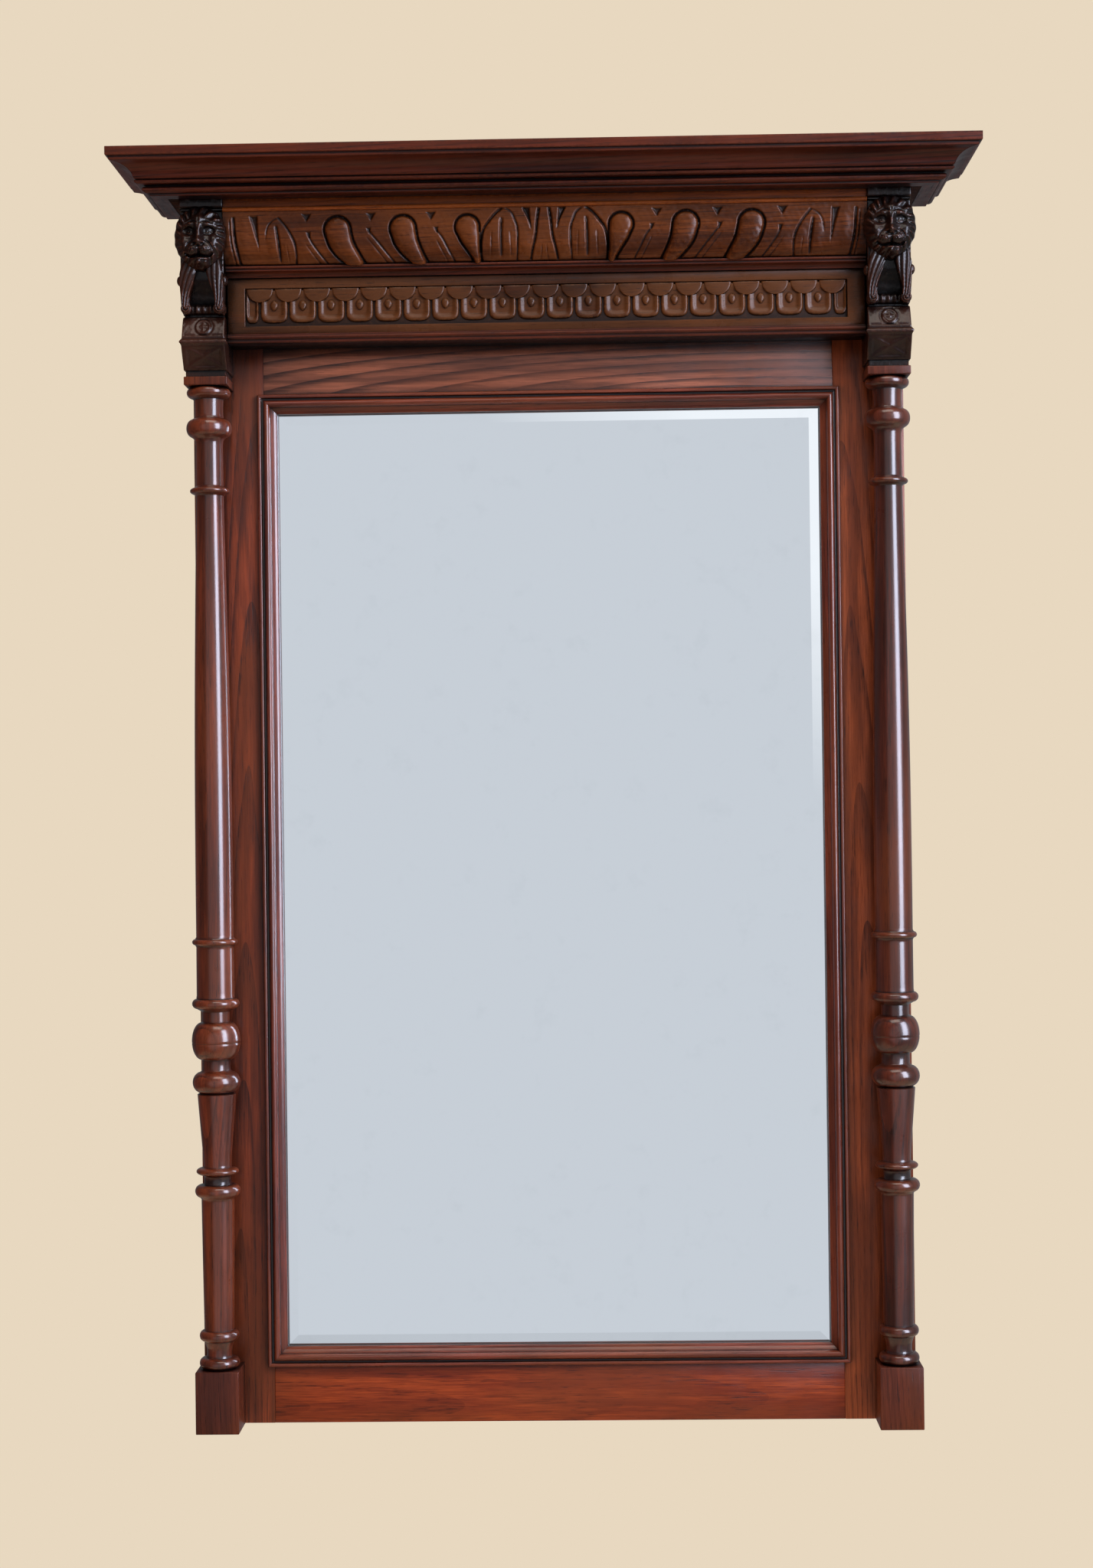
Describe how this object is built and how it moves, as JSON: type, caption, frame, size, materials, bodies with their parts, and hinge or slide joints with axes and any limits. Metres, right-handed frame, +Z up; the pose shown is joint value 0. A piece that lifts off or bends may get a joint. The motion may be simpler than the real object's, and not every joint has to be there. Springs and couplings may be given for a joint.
{
  "type": "pier mirror",
  "caption": "Tall wall mirror with a bevelled plate between turned columns, carved brackets, a carved frieze and a deep mitred cornice.",
  "frame": {"origin": "middle of the back in width and height, in the plane of the wall", "axes": "+X to the viewer's right, +Y into the wall, +Z up; the mirror faces -Y"},
  "size_m": [1.098, 0.177, 1.64],
  "materials": {
    "oak_frame": "varnished oak, red-brown, glossy",
    "oak_rail": "varnished oak, lighter red-brown, glossy",
    "oak_moulding": "varnished oak moulding, glossy",
    "oak_turning": "dark varnished turned oak, high gloss",
    "oak_carving": "carved oak, lighter brown, waxed",
    "oak_bracket": "dark carved oak, waxed",
    "oak_cornice": "dark red-brown varnished oak",
    "pine_inside": "bare pine, matt, aged",
    "mirror_plate": "silvered plate glass with a bevelled edge",
    "iron": "blackened forged iron"
  },
  "bodies": {
    "root": {"stile_left": "oak_frame", "plinth_block_left": "oak_turning", "column_left": "oak_turning", "abacus_left": "oak_turning", "bracket_left": "oak_bracket", "mask_left": "oak_bracket", "hanging_plate_left": "iron", "hanging_screw_left_1": "iron", "hanging_screw_left_2": "iron", "glass_block_left_lower": "pine_inside", "glass_block_left_upper": "pine_inside", "glass_block_bottom_left": "pine_inside", "glass_block_top_left": "pine_inside", "cornice_return_left": "oak_cornice", "stile_right": "oak_frame", "plinth_block_right": "oak_turning", "column_right": "oak_turning", "abacus_right": "oak_turning", "bracket_right": "oak_bracket", "mask_right": "oak_bracket", "hanging_plate_right": "iron", "hanging_screw_right_1": "iron", "hanging_screw_right_2": "iron", "glass_block_right_lower": "pine_inside", "glass_block_right_upper": "pine_inside", "glass_block_bottom_right": "pine_inside", "glass_block_top_right": "pine_inside", "cornice_return_right": "oak_cornice", "bottom_rail": "oak_rail", "top_rail": "oak_rail", "hanging_rail": "pine_inside", "moulding_top": "oak_moulding", "moulding_right": "oak_moulding", "moulding_bottom": "oak_moulding", "moulding_left": "oak_moulding", "mirror_plate": "mirror_plate", "backboard_1": "pine_inside", "backboard_2": "pine_inside", "backboard_3": "pine_inside", "backboard_4": "pine_inside", "backboard_5": "pine_inside", "glue_block_1": "pine_inside", "glue_block_2": "pine_inside", "glue_block_3": "pine_inside", "frieze_base_moulding": "oak_cornice", "architrave_moulding": "oak_cornice", "frieze_soffit": "oak_cornice", "cornice_front": "oak_cornice", "frieze_board": "oak_carving", "frieze_scale_panel": "oak_carving", "frieze_ovolo": "oak_carving", "frieze_fillet": "oak_carving", "cornice_bed_board": "pine_inside", "cornice_top_board": "pine_inside", "cornice_back_rail": "pine_inside"}
  },
  "joints": []
}
